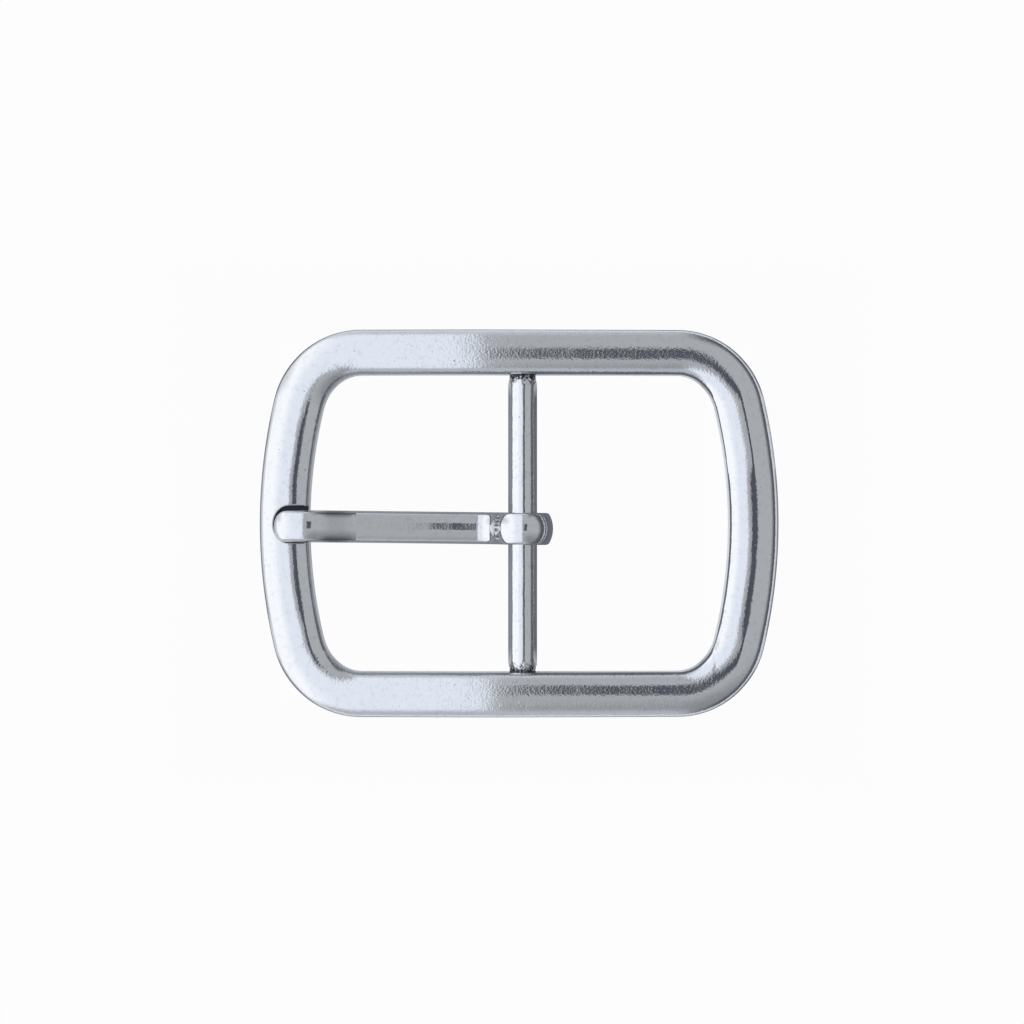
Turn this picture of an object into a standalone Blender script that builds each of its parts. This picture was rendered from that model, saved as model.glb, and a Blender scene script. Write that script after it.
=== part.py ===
"""Centre-bar belt buckle for a 35 mm strap: a domed cast frame, a round bar and a bent prong.

Run with: blender --background --python part.py
Units are metres, +Z is up. The buckle lies face up. The origin is under the middle of the frame,
on the surface that the buckle lies on. +X runs from the notched end of the frame to the plain end,
and +Y runs along the bar.
"""

import math

import bmesh
import bpy
from mathutils import Matrix, Vector

# Frame, seen from above
HALF_LENGTH = 0.03147
HALF_WIDTH = 0.02342
OUTER_END_RADIUS = 0.065
OUTER_CORNER_RADIUS = 0.0108
WINDOW_HALF_LENGTH = 0.0255
WINDOW_HALF_WIDTH = 0.018
INNER_END_RADIUS = 0.059
INNER_CORNER_RADIUS = 0.005

# Frame, cut through a rail
WALL_HEIGHT = 0.00375
DOME_RISE = 0.0014
CREST_SHARE = 0.45
FOOT_RADIUS = 0.0004

# The frame arches up between its two ends, and their backs are ground flat
ARCH_RADIUS = 0.260
ARCH_HEIGHT = 0.00165

# Bar and its blind sockets
BAR_X = 0.0004
BAR_HEIGHT = ARCH_HEIGHT + 0.0019
BAR_RADIUS = 0.00175
NECK_RADIUS = 0.00155
NECK_START = 0.0169
NECK_END = 0.0176
SOCKET_DEPTH = 0.0025
SOCKET_CLEARANCE = 0.0001
SOCKET_END_GAP = 0.0002

# Prong strip
STRIP_WIDTH = 0.00388
STRIP_THICKNESS = 0.00175
CROWN_RADIUS = 0.0036
STRIP_EDGE_RADIUS = 0.00025
EYE_CLEARANCE = 0.0002
TAIL_THICKNESS = 0.0013
THINNING_START = 0.50
THINNING_END = 0.85

# Prong path, seen from the side
NOSE_X = -0.0296
NOSE_TAPER = 0.0016
NOSE_END_SCALE = 0.12
CREST_X = -0.0259
TIP_RADIUS = 0.0065
BEND_HIGH_X = -0.0244
BEND_LOW_X = -0.0202
BEND_DROP = 0.00215
SHANK_SLOPE = math.tan(math.radians(3.0))
FILLET_RADIUS = 0.0030
NECK_ANGLE = math.radians(160.0)
TAIL_ANGLE = math.radians(-143.0)
PRONG_Y = -0.00064
PRONG_SKEW = math.radians(-0.65)

# Notch in the left end rail
NOTCH_END_X = -0.0300
NOTCH_HALF_WIDTH = 0.00235
NOTCH_END_DEPTH = 0.0019
NOTCH_FLOOR = 0.0044
NOTCH_CUTTER_HEIGHT = 0.005

# How finely the curves are drawn
END_STEPS = 5
CORNER_STEPS = 8
SIDE_STEPS = 6
DOME_STEPS = 12
NOTCH_STEPS = 12
BAR_SIDES = 28
TIP_STEPS = 10
CREST_STEPS = 5
SHANK_STEPS = 6
BEND_STEPS = 12
FILLET_STEPS = 8
EYE_STEPS = 30
CROWN_STEPS = 6


def clear_scene():
    for obj in list(bpy.data.objects):
        bpy.data.objects.remove(obj, do_unlink=True)


def new_collection(name):
    collection = bpy.data.collections.new(name)
    bpy.context.scene.collection.children.link(collection)
    return collection


def new_object(name, data, collection):
    obj = bpy.data.objects.new(name, data)
    collection.objects.link(obj)
    return obj


def as_helper(obj):
    obj.hide_render = True
    obj.display_type = "WIRE"


def metal(name, colour, roughness):
    material = bpy.data.materials.new(name)
    material.use_nodes = True
    shader = material.node_tree.nodes["Principled BSDF"]
    shader.inputs["Base Color"].default_value = (*colour, 1.0)
    shader.inputs["Metallic"].default_value = 1.0
    shader.inputs["Roughness"].default_value = roughness
    return material


def shade_round(mesh, crease_degrees):
    mesh.shade_smooth()
    mesh.set_sharp_from_angle(angle=math.radians(crease_degrees))


def spread(start, end, steps):
    """Evenly spaced values from start up to, but without, end."""
    return [start + (end - start) * step / steps for step in range(steps)]


def arch(x):
    """Height of the frame's back above the surface that its ends stand on."""
    return ARCH_HEIGHT - x * x / (2.0 * ARCH_RADIUS)


# Frame

def quarter_outline(half_length, half_width, end_radius, corner_radius):
    """Points from the end's middle (+X) round one corner to the long side's middle (+Y)."""
    end_centre = Vector((half_length - end_radius, 0.0))
    corner_y = half_width - corner_radius
    corner_x = end_centre.x + math.sqrt((end_radius - corner_radius) ** 2 - corner_y**2)
    corner_centre = Vector((corner_x, corner_y))
    meet = math.atan2(corner_y, corner_x - end_centre.x)
    points = []
    for angle in spread(0.0, meet, END_STEPS):
        points.append(end_centre + end_radius * Vector((math.cos(angle), math.sin(angle))))
    for angle in spread(meet, math.pi / 2, CORNER_STEPS):
        points.append(corner_centre + corner_radius * Vector((math.cos(angle), math.sin(angle))))
    for x in spread(corner_x, 0.0, SIDE_STEPS):
        points.append(Vector((x, half_width)))
    points.append(Vector((0.0, half_width)))
    return points


def full_outline(quarter):
    """The closed outline, mirrored from one quarter, with no point twice."""
    upper = quarter + [Vector((-p.x, p.y)) for p in reversed(quarter[:-1])]
    lower = [Vector((p.x, -p.y)) for p in reversed(upper[1:-1])]
    return upper + lower


def rail_section(width):
    """(distance in from the outer edge, height above the back), over the rail from foot to foot."""
    crest = CREST_SHARE * width
    foot = []
    for degrees in (270.0, 225.0, 180.0):
        angle = math.radians(degrees)
        foot.append((FOOT_RADIUS * (1.0 + math.cos(angle)), FOOT_RADIUS * (1.0 + math.sin(angle))))
    dome = []
    for step in range(DOME_STEPS + 1):
        angle = math.pi * step / DOME_STEPS
        reach = crest if step < DOME_STEPS / 2 else width - crest
        dome.append((crest - reach * math.cos(angle), WALL_HEIGHT + DOME_RISE * math.sin(angle)))
    return foot + dome + [(width - across, height) for across, height in reversed(foot)]


def frame_ring_mesh():
    """The domed rail, lofted round the frame between its outer and inner outlines."""
    outer = full_outline(quarter_outline(HALF_LENGTH, HALF_WIDTH, OUTER_END_RADIUS, OUTER_CORNER_RADIUS))
    inner = full_outline(
        quarter_outline(WINDOW_HALF_LENGTH, WINDOW_HALF_WIDTH, INNER_END_RADIUS, INNER_CORNER_RADIUS)
    )
    bm = bmesh.new()
    rings = []
    for edge_out, edge_in in zip(outer, inner):
        width = (edge_in - edge_out).length
        inward = (edge_in - edge_out) / width
        ring = []
        for across, height in rail_section(width):
            place = edge_out + inward * across
            ring.append(bm.verts.new((place.x, place.y, arch(place.x) + height)))
        rings.append(ring)
    for ring, following in zip(rings, rings[1:] + rings[:1]):
        for k in range(len(ring)):
            after = (k + 1) % len(ring)
            bm.faces.new((ring[k], following[k], following[after], ring[after]))
    bmesh.ops.recalc_face_normals(bm, faces=bm.faces)
    mesh = bpy.data.meshes.new("frame")
    bm.to_mesh(mesh)
    bm.free()
    return mesh


def notch_outline():
    """A U open towards the window, its round end towards the outer edge."""
    round_x = NOTCH_END_X + NOTCH_END_DEPTH
    open_x = -WINDOW_HALF_LENGTH + 0.002
    points = [Vector((open_x, -NOTCH_HALF_WIDTH)), Vector((open_x, NOTCH_HALF_WIDTH))]
    for step in range(NOTCH_STEPS + 1):
        angle = math.pi / 2 + math.pi * step / NOTCH_STEPS
        across = NOTCH_END_DEPTH * math.cos(angle)
        points.append(Vector((round_x + across, NOTCH_HALF_WIDTH * math.sin(angle))))
    return points


def notch_cutter(collection):
    """The U swept up from the notch's floor."""
    bm = bmesh.new()
    base = bm.faces.new([bm.verts.new((point.x, point.y, NOTCH_FLOOR)) for point in notch_outline()])
    swept = bmesh.ops.extrude_face_region(bm, geom=[base])
    top = [item for item in swept["geom"] if isinstance(item, bmesh.types.BMVert)]
    bmesh.ops.translate(bm, verts=top, vec=(0.0, 0.0, NOTCH_CUTTER_HEIGHT))
    bmesh.ops.recalc_face_normals(bm, faces=bm.faces)
    mesh = bpy.data.meshes.new("notch_cutter")
    bm.to_mesh(mesh)
    bm.free()
    return new_object("notch_cutter", mesh, collection)


def socket_cutter(collection):
    """One rod through both long rails' inner walls, which leaves a blind socket in each."""
    bm = bmesh.new()
    bmesh.ops.create_cone(
        bm,
        cap_ends=True,
        segments=BAR_SIDES,
        radius1=NECK_RADIUS + SOCKET_CLEARANCE,
        radius2=NECK_RADIUS + SOCKET_CLEARANCE,
        depth=2.0 * (WINDOW_HALF_WIDTH + SOCKET_DEPTH),
        matrix=Matrix.Rotation(math.pi / 2, 4, "X"),
    )
    mesh = bpy.data.meshes.new("socket_cutter")
    bm.to_mesh(mesh)
    bm.free()
    obj = new_object("socket_cutter", mesh, collection)
    obj.location = (BAR_X, 0.0, BAR_HEIGHT)
    return obj


def ground_cutter(collection):
    """A block below the buckle, which grinds the two ends' backs flat."""
    depth = 0.004
    bm = bmesh.new()
    bmesh.ops.create_cube(bm, size=1.0)
    bmesh.ops.scale(bm, verts=bm.verts, vec=(4.0 * HALF_LENGTH, 4.0 * HALF_WIDTH, depth))
    mesh = bpy.data.meshes.new("ground_cutter")
    bm.to_mesh(mesh)
    bm.free()
    obj = new_object("ground_cutter", mesh, collection)
    obj.location = (0.0, 0.0, -depth / 2)
    return obj


def make_frame(parts, cutters, material):
    obj = new_object("frame", frame_ring_mesh(), parts)
    for cutter in (ground_cutter(cutters), notch_cutter(cutters), socket_cutter(cutters)):
        as_helper(cutter)
        cut = obj.modifiers.new(cutter.name, "BOOLEAN")
        cut.operation = "DIFFERENCE"
        cut.solver = "EXACT"
        cut.object = cutter
    obj.data.materials.append(material)
    shade_round(obj.data, 40.0)
    return obj


# Bar

def make_bar(parts, material):
    """A turned rod. Its profile runs down the outer side, from one end's centre to the other's."""
    end = WINDOW_HALF_WIDTH + SOCKET_DEPTH - SOCKET_END_GAP
    half = [(0.0, end), (NECK_RADIUS, end), (NECK_RADIUS, NECK_END), (BAR_RADIUS, NECK_START)]
    profile = half + [(radius, -along) for radius, along in reversed(half)]
    mesh = bpy.data.meshes.new("centre_bar")
    mesh.from_pydata(
        [(radius, 0.0, along) for radius, along in profile],
        [(k, k + 1) for k in range(len(profile) - 1)],
        [],
    )
    obj = new_object("centre_bar", mesh, parts)
    screw = obj.modifiers.new("turn", "SCREW")
    screw.steps = BAR_SIDES
    screw.render_steps = BAR_SIDES
    screw.use_merge_vertices = True
    screw.merge_threshold = 0.00001
    screw.use_smooth_shade = True
    obj.location = (BAR_X, 0.0, BAR_HEIGHT)
    obj.rotation_euler = (-math.pi / 2, 0.0, 0.0)
    mesh.materials.append(material)
    return obj


# Prong

def smooth_step(share):
    """0 to 1 with level ends."""
    share = min(max(share, 0.0), 1.0)
    return share * share * (3.0 - 2.0 * share)


def fillet_arc():
    """(centre, radius) of the bend that turns the shank's middle line up into the eye."""
    middle = BAR_RADIUS + EYE_CLEARANCE + STRIP_THICKNESS / 2
    meet = Vector((middle * math.cos(NECK_ANGLE), middle * math.sin(NECK_ANGLE)))
    outward = meet.normalized()
    return meet + outward * FILLET_RADIUS, FILLET_RADIUS


def shank_height(x, root):
    """Height of the strip's middle line over the bar's axis, left of the fillet."""
    height = root.y + SHANK_SLOPE * (root.x - x)
    height += BEND_DROP * smooth_step((BEND_LOW_X - BAR_X - x) / (BEND_LOW_X - BEND_HIGH_X))
    past_crest = max(CREST_X - BAR_X - x, 0.0)
    return height - (TIP_RADIUS - math.sqrt(TIP_RADIUS**2 - past_crest**2))


def prong_path():
    """(x, height, scale) along the strip's middle line from nose to tail, from the bar's axis."""
    centre, radius = fillet_arc()
    fall = math.atan(SHANK_SLOPE)
    root = centre - radius * Vector((math.sin(fall), math.cos(fall)))
    nose = NOSE_X - BAR_X
    turns = spread(0.0, math.pi / 2, TIP_STEPS)
    stations = [nose + NOSE_TAPER * (1.0 - math.cos(turn)) for turn in turns]
    stations += spread(nose + NOSE_TAPER, BEND_HIGH_X - BAR_X, CREST_STEPS)
    stations += spread(BEND_HIGH_X - BAR_X, BEND_LOW_X - BAR_X, BEND_STEPS)
    stations += spread(BEND_LOW_X - BAR_X, root.x, SHANK_STEPS)
    path = []
    for x in stations:
        share = min((x - nose) / NOSE_TAPER, 1.0)
        scale = max(math.sqrt(1.0 - (1.0 - share) ** 2), NOSE_END_SCALE)
        path.append((x, shank_height(x, root), scale))
    for angle in spread(-math.pi / 2 - fall, NECK_ANGLE - math.pi, FILLET_STEPS):
        path.append((centre.x + radius * math.cos(angle), centre.y + radius * math.sin(angle), 1.0))
    for step in range(EYE_STEPS + 1):
        share = step / EYE_STEPS
        angle = NECK_ANGLE + (TAIL_ANGLE - NECK_ANGLE) * share
        thinning = smooth_step((share - THINNING_START) / (THINNING_END - THINNING_START))
        thickness = STRIP_THICKNESS + (TAIL_THICKNESS - STRIP_THICKNESS) * thinning
        middle = BAR_RADIUS + EYE_CLEARANCE + thickness / 2
        path.append((middle * math.cos(angle), middle * math.sin(angle), thickness / STRIP_THICKNESS))
    return path


def strip_section():
    """(down, across) round the strip: crowned above, flat below, its lower edges rounded."""
    half = STRIP_WIDTH / 2
    crown_centre = CROWN_RADIUS - STRIP_THICKNESS / 2
    points = []
    reach = math.asin(half / CROWN_RADIUS)
    for step in range(CROWN_STEPS + 1):
        angle = reach * (2.0 * step / CROWN_STEPS - 1.0)
        points.append((crown_centre - CROWN_RADIUS * math.cos(angle), CROWN_RADIUS * math.sin(angle)))
    low = STRIP_THICKNESS / 2
    edge = STRIP_EDGE_RADIUS
    points += [(low - edge, half), (low, half - edge), (low, edge - half), (low - edge, -half)]
    return points


def poly_curve(name, points, cyclic):
    """A flat curve of straight pieces through (x, y, scale) points."""
    curve = bpy.data.curves.new(name, "CURVE")
    curve.dimensions = "2D"
    curve.fill_mode = "NONE"
    spline = curve.splines.new("POLY")
    spline.points.add(len(points) - 1)
    for target, (x, y, scale) in zip(spline.points, points):
        target.co = (x, y, 0.0, 1.0)
        target.radius = scale
    spline.use_cyclic_u = cyclic
    return curve


def make_prong(parts, cutters, material):
    section = poly_curve("prong_section", [(down, across, 1.0) for down, across in strip_section()], True)
    section_object = new_object("prong_section", section, cutters)
    as_helper(section_object)
    path = poly_curve("prong_path", prong_path(), False)
    path.bevel_mode = "OBJECT"
    path.bevel_object = section_object
    path.use_fill_caps = True
    swept = new_object("prong_path", path, cutters)
    bpy.context.view_layer.update()
    graph = bpy.context.evaluated_depsgraph_get()
    mesh = bpy.data.meshes.new_from_object(swept.evaluated_get(graph))
    bpy.data.objects.remove(swept, do_unlink=True)
    bm = bmesh.new()
    bm.from_mesh(mesh)
    bmesh.ops.remove_doubles(bm, verts=bm.verts, dist=0.000001)
    bmesh.ops.recalc_face_normals(bm, faces=bm.faces)
    bm.to_mesh(mesh)
    bm.free()
    mesh.name = "prong"
    mesh.materials.clear()
    mesh.materials.append(material)
    shade_round(mesh, 35.0)
    obj = new_object("prong", mesh, parts)
    upright = Matrix.Rotation(math.pi / 2, 4, "X")
    place = Matrix.Translation((BAR_X, PRONG_Y, BAR_HEIGHT))
    obj.matrix_world = place @ Matrix.Rotation(PRONG_SKEW, 4, "Z") @ upright
    return obj


def main():
    clear_scene()
    parts = new_collection("belt_buckle")
    cutters = new_collection("cutters")
    cast_nickel = metal("polished_cast_nickel", (0.62, 0.63, 0.65), 0.12)
    drawn_nickel = metal("polished_drawn_nickel", (0.60, 0.61, 0.63), 0.10)
    make_frame(parts, cutters, cast_nickel)
    make_bar(parts, drawn_nickel)
    make_prong(parts, cutters, drawn_nickel)


main()
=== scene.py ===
# %% [markdown]
# # A centre-bar belt buckle in bright plate
# This lesson builds the three pieces of a dress-belt buckle: a domed cast frame, a round bar and
# a bent prong. It shapes them, gives them their plated finish and lights them. All sizes are in
# metres. The buckle lies face up: +X runs from the notched end to the plain end, +Y along the bar.

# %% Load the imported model
import math

import bpy
from mathutils import Matrix, Vector


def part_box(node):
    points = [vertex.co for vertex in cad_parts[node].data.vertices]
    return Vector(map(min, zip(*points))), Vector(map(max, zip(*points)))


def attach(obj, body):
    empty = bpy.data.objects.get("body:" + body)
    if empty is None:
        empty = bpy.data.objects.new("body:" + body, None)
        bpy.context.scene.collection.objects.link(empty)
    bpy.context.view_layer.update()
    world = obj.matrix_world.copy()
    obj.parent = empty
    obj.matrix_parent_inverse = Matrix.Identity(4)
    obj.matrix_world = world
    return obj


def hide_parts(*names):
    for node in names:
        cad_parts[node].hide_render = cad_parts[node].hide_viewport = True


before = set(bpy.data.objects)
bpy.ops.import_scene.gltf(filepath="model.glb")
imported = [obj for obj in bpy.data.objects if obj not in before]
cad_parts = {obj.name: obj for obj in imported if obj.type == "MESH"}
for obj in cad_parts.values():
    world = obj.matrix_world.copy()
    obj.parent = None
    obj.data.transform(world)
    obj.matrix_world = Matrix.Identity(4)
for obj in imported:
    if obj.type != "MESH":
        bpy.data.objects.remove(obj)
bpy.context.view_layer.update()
frame_low, frame_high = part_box("frame")
bar_low, bar_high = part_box("centre_bar")
print("the frame is", round((frame_high.x - frame_low.x) * 1000.0, 1), "mm long")

MM = 0.001
# Places closer than a hair count as level.
hair = 0.01 * MM

# %% [markdown]
# Blender's operators act on whatever is selected, and on the mode that Blender is in. These small
# helpers set that state plainly, so that each later step reads like work done by hand: take one
# piece, pick some of its corners, use a tool, and put the piece down.


# %% Helpers for working by hand
def take(piece):
    """Puts everything else down, and makes this the piece that the tools act on."""
    bpy.ops.object.select_all(action="DESELECT")
    piece.select_set(True)
    bpy.context.view_layer.objects.active = piece


def settle(piece):
    """Writes the piece's place, turn and size into its mesh."""
    take(piece)
    bpy.ops.object.transform_apply(location=True, rotation=True, scale=True)


def pick(piece, wanted):
    """Enters edit mode with only the corners selected whose place passes the test."""
    take(piece)
    for polygon in piece.data.polygons:
        polygon.select = False
    for edge in piece.data.edges:
        edge.select = False
    for vertex in piece.data.vertices:
        vertex.select = wanted(vertex.co)
    bpy.ops.object.mode_set(mode="EDIT")
    bpy.ops.mesh.select_mode(type="VERT")


def put_down():
    bpy.ops.object.mode_set(mode="OBJECT")


# %% [markdown]
# A modifier does a whole job at once, such as mirroring or cutting one solid with another. It is
# applied straight away, so that the next step works on real corners. A finished mesh is closed up:
# doubled corners are merged first, since faces can only be turned outwards on a closed skin.


# %% Helpers for finishing a mesh
def use_modifier(piece, kind, **settings):
    """Adds a modifier with these settings and applies it."""
    take(piece)
    modifier = piece.modifiers.new(kind.lower(), kind)
    for name, value in settings.items():
        setattr(modifier, name, value)
    bpy.ops.object.modifier_apply(modifier=modifier.name)


def cut_away(piece, cutter):
    """Cuts the cutter's shape out of the piece, and throws the cutter away."""
    use_modifier(piece, "BOOLEAN", operation="DIFFERENCE", solver="EXACT", object=cutter)
    bpy.data.objects.remove(cutter)


def close_up(piece, crease_degrees):
    """Merges doubled corners, turns the faces outwards and shades round surfaces smooth."""
    pick(piece, lambda place: True)
    bpy.ops.mesh.remove_doubles(threshold=0.002 * MM)
    bpy.ops.mesh.normals_make_consistent(inside=False)
    put_down()
    bpy.ops.object.shade_smooth_by_angle(angle=math.radians(crease_degrees))


def size_of(piece):
    corners = [vertex.co for vertex in piece.data.vertices]
    return [round((max(c[k] for c in corners) - min(c[k] for c in corners)) / MM, 2) for k in range(3)]


def clamp(value, low=0.0, high=1.0):
    """The value, kept between low and high."""
    return min(max(value, low), high)


def ease(share):
    """0 to 1 with level ends."""
    share = clamp(share)
    return share * share * (3.0 - 2.0 * share)


# %% [markdown]
# ## The frame
# The frame is a casting: one rail, domed above and flat below, that runs right round the window.
# Its long sides are straight, its ends bow outwards, and it is bent a little from end to end. One
# could push a box into that shape, but the rail is the same all the way, so its section is drawn
# once on a plane and then spun round each bend. Only a quarter is made, and mirrored twice.

# %% The rail's section
window_half_length = 0.0255
window_half_width = 0.0180
end_rail_width = frame_high.x - window_half_length
side_rail_width = frame_high.y - window_half_width
wall_height = 0.00375
foot_radius = 0.0004
foot_steps = 4

bpy.ops.object.select_all(action="DESELECT")
bpy.ops.mesh.primitive_plane_add(
    size=1.0,
    location=(window_half_length + end_rail_width / 2, 0.0, wall_height / 2),
    rotation=(math.pi / 2, 0.0, 0.0),
)
buckle_frame = bpy.context.object
buckle_frame.name = "buckle_frame"
buckle_frame.scale = (end_rail_width, wall_height, 1.0)
settle(buckle_frame)
pick(buckle_frame, lambda place: place.z < wall_height / 2)
bpy.ops.mesh.bevel(offset=foot_radius, segments=foot_steps, affect="VERTICES")
put_down()
print("plain section:", size_of(buckle_frame), "mm")

# %% [markdown]
# The dome is two quarter ellipses that meet at the crest, a little nearer the outer edge. The top
# edge is cut into short pieces, which crowd together at both edges where the ellipse is steepest.
# Only the outline is wanted for spinning, so the plane's face is then deleted.

# %% Dome its top
dome_rise = 0.0014
crest_share = 0.45
dome_steps = 44

pick(buckle_frame, lambda place: place.z > wall_height - hair)
bpy.ops.mesh.subdivide(number_cuts=dome_steps - 1)
put_down()


def dome(across, width):
    """Height of the dome over the wall's top, at this distance in from the rail's outer edge."""
    crest = crest_share * width
    reach = crest if across < crest else width - crest
    return dome_rise * math.sqrt(max(1.0 - ((across - crest) / reach) ** 2, 0.0))


for corner in buckle_frame.data.vertices:
    if corner.co.z > wall_height - hair:
        turn = math.pi * (frame_high.x - corner.co.x) / end_rail_width
        crest = crest_share * end_rail_width
        reach = crest if turn < math.pi / 2 else end_rail_width - crest
        across = crest - reach * math.cos(turn)
        corner.co.x = frame_high.x - across
        corner.co.z = wall_height + dome(across, end_rail_width)
pick(buckle_frame, lambda place: True)
bpy.ops.mesh.delete(type="ONLY_FACE")
put_down()
print("rail section:", len(buckle_frame.data.vertices), "points,", size_of(buckle_frame), "mm")

# %% [markdown]
# Spin turns the section about an upright axis. The first axis is the far centre of the bowed end,
# the second the centre of the corner. The rail narrows from the end to the side, so after each
# step round the corner the section is scaled a little towards its outer edge. The straight side is
# then plain extrusion, up to the middle of the buckle.

# %% The rail round a quarter of the window
outer_end_radius = 0.065
outer_corner_radius = 0.0108
end_steps = 24
corner_steps = 40
side_steps = 28
upright = (0.0, 0.0, -1.0)

end_centre = Vector((frame_high.x - outer_end_radius, 0.0, 0.0))
corner_y = frame_high.y - outer_corner_radius
corner_x = end_centre.x + math.sqrt((outer_end_radius - outer_corner_radius) ** 2 - corner_y**2)
corner_centre = Vector((corner_x, corner_y, 0.0))
meet = math.atan2(corner_y, corner_x - end_centre.x)
corner_turn = math.pi / 2 - meet

pick(buckle_frame, lambda place: True)
bpy.ops.mesh.spin(steps=end_steps, angle=meet, center=end_centre, axis=upright)
rail_width = end_rail_width
for step in range(1, corner_steps + 1):
    bpy.ops.mesh.spin(steps=1, angle=corner_turn / corner_steps, center=corner_centre, axis=upright)
    heading = meet + corner_turn / corner_steps * step
    outwards = Vector((math.cos(heading), math.sin(heading), 0.0))
    outer_edge = corner_centre + outer_corner_radius * outwards
    next_width = end_rail_width + (side_rail_width - end_rail_width) * ease(step / corner_steps)
    shrink = next_width / rail_width
    bpy.ops.transform.resize(value=(shrink, shrink, 1.0), center_override=outer_edge)
    rail_width = next_width
for step in range(side_steps):
    onwards = (-corner_x / side_steps, 0.0, 0.0)
    bpy.ops.mesh.extrude_region_move(TRANSFORM_OT_translate={"value": onwards})
put_down()
print("quarter rail:", size_of(buckle_frame), "mm")

# %% [markdown]
# On the long rails the polished crest lies a little further in than on the end rails, because the
# wheel ran along them. There the dome's corners are moved inwards, most half-way across the rail
# and not at all at its edges. Round the frame's corner the move fades away.

# %% Move the long rails' crest inwards
crest_shift = 0.10

for corner in buckle_frame.data.vertices:
    if corner.co.z <= wall_height + hair:
        continue
    if corner.co.x < corner_x:
        outwards = Vector((0.0, 1.0, 0.0))
        across = frame_high.y - corner.co.y
        share = 1.0
    else:
        spoke = Vector((corner.co.x - corner_x, corner.co.y - corner_y, 0.0))
        outwards = spoke.normalized()
        across = outer_corner_radius - spoke.length
        share = ease((math.atan2(spoke.y, spoke.x) - meet) / corner_turn)
    width = end_rail_width + (side_rail_width - end_rail_width) * share
    bulge = math.sin(math.pi * clamp(across / width))
    corner.co -= outwards * crest_shift * width * bulge * share
print("crest moved by up to", round(crest_shift * side_rail_width / MM, 2), "mm")

# %% [markdown]
# The casting was pressed over a blunt edge: from the side, it is two nearly straight halves that
# meet in a narrow bend near the middle, and its two ends curve down a little more. The bend runs
# slightly askew. A hyperbola gives that shape: straight far out, and round only at the fold.

# %% The fold along the frame
arch_height = 0.00165
fold_slope = 0.058
fold_round = 0.0030
fold_middle = -0.0040
fold_skew = -0.045
end_bend_start = 0.018
end_bend_radius = 0.260


def arch(x, y):
    """Height of the frame's back above the surface it stands on."""
    from_fold = x - fold_middle - fold_skew * y
    straight = fold_slope * (math.hypot(from_fold, fold_round) - fold_round)
    round_end = max(abs(x) - end_bend_start, 0.0) ** 2 / (2.0 * end_bend_radius)
    return arch_height - straight - round_end


print("the back stands", round(arch(0.0, 0.0) / MM, 2), "mm clear in the middle")

# %% [markdown]
# Polishing by hand leaves faint ridges along the end rails, where two strokes of the wheel meet.
# They can't be seen as height, but a mirror finish shows each as a hard line. On both sides of a
# ridge the rail is worn down by a few hundredths of a millimetre, which dies away lengthwise.

# %% Ridges along the end rails
# Each ridge: from y, to y, which end, how far inside the crest, and how steeply it is worn.
ridges = [
    (0.0050, 0.0170, 1.0, 0.0000, 0.100),
    (-0.0190, -0.0120, 1.0, 0.0000, 0.080),
    (0.0115, 0.0170, -1.0, 0.0017, 0.070),
    (-0.0180, -0.0100, -1.0, 0.0017, 0.070),
]
ridge_reach = 0.0007
ridge_fade = 0.0025
ridge_start_x = window_half_length - 2.0 * MM
ridge_start_z = wall_height + 0.3 * dome_rise


def ridge(x, y):
    """How far the polished rail is worn down on both sides of the ridges on its end rails."""
    centre = Vector((math.copysign(outer_end_radius - frame_high.x, -x), 0.0))
    from_edge = outer_end_radius - (Vector((x, y)) - centre).length
    inside_crest = from_edge - crest_share * end_rail_width
    worn = 0.0
    for y_from, y_to, side, ridge_at, sharpness in ridges:
        if x * side > 0.0:
            share = ease((y - y_from) / ridge_fade) * ease((y_to - y) / ridge_fade)
            away = abs(inside_crest - ridge_at)
            worn += share * sharpness * ridge_reach * (1.0 - math.exp(-away / ridge_reach))
    return worn


print("ridges:", len(ridges))

# %% [markdown]
# Two mirrors close the ring. Every corner of the mesh then rises by the arch's height at its
# place. The ends' backs would dip below the surface that the buckle lies on: on the real casting
# they are ground flat, and here a scale of zero presses the corners that are too low up on to it.

# %% The whole ring, bent and ground flat
use_modifier(
    buckle_frame,
    "MIRROR",
    use_axis=(True, True, False),
    use_clip=True,
    merge_threshold=0.005 * MM,
)
for corner in buckle_frame.data.vertices:
    if corner.co.z > ridge_start_z and abs(corner.co.x) > ridge_start_x:
        corner.co.z -= ridge(corner.co.x, corner.co.y)
    corner.co.z += arch(corner.co.x, corner.co.y)
close_up(buckle_frame, crease_degrees=40.0)
pick(buckle_frame, lambda place: place.z < 0.0)
bpy.ops.transform.resize(value=(1.0, 1.0, 0.0), center_override=(0.0, 0.0, 0.0))
put_down()
print("ring:", size_of(buckle_frame), "mm,", len(buckle_frame.data.polygons), "faces")

# %% [markdown]
# ## The notch
# The prong's tip lies in a U-shaped notch in one end rail, a hair off its middle. The notch was cut
# into the casting and its rim polished round. Its floor is made rough and painted dark: painted
# shade, where the prong's shadow falls into the notch. A cutter does the same here. It starts as
# a flat disc, drawn out to an oval, whose one half is pulled out past the window.

# %% The notch's outline
notch_end_x = -0.02972
notch_middle_y = -0.0001
notch_half_width = 0.00220
notch_end_depth = 0.0019
notch_floor = 0.0044
notch_points = 96
notch_round_x = notch_end_x + notch_end_depth
notch_open_x = -window_half_length + 2.0 * MM

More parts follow.
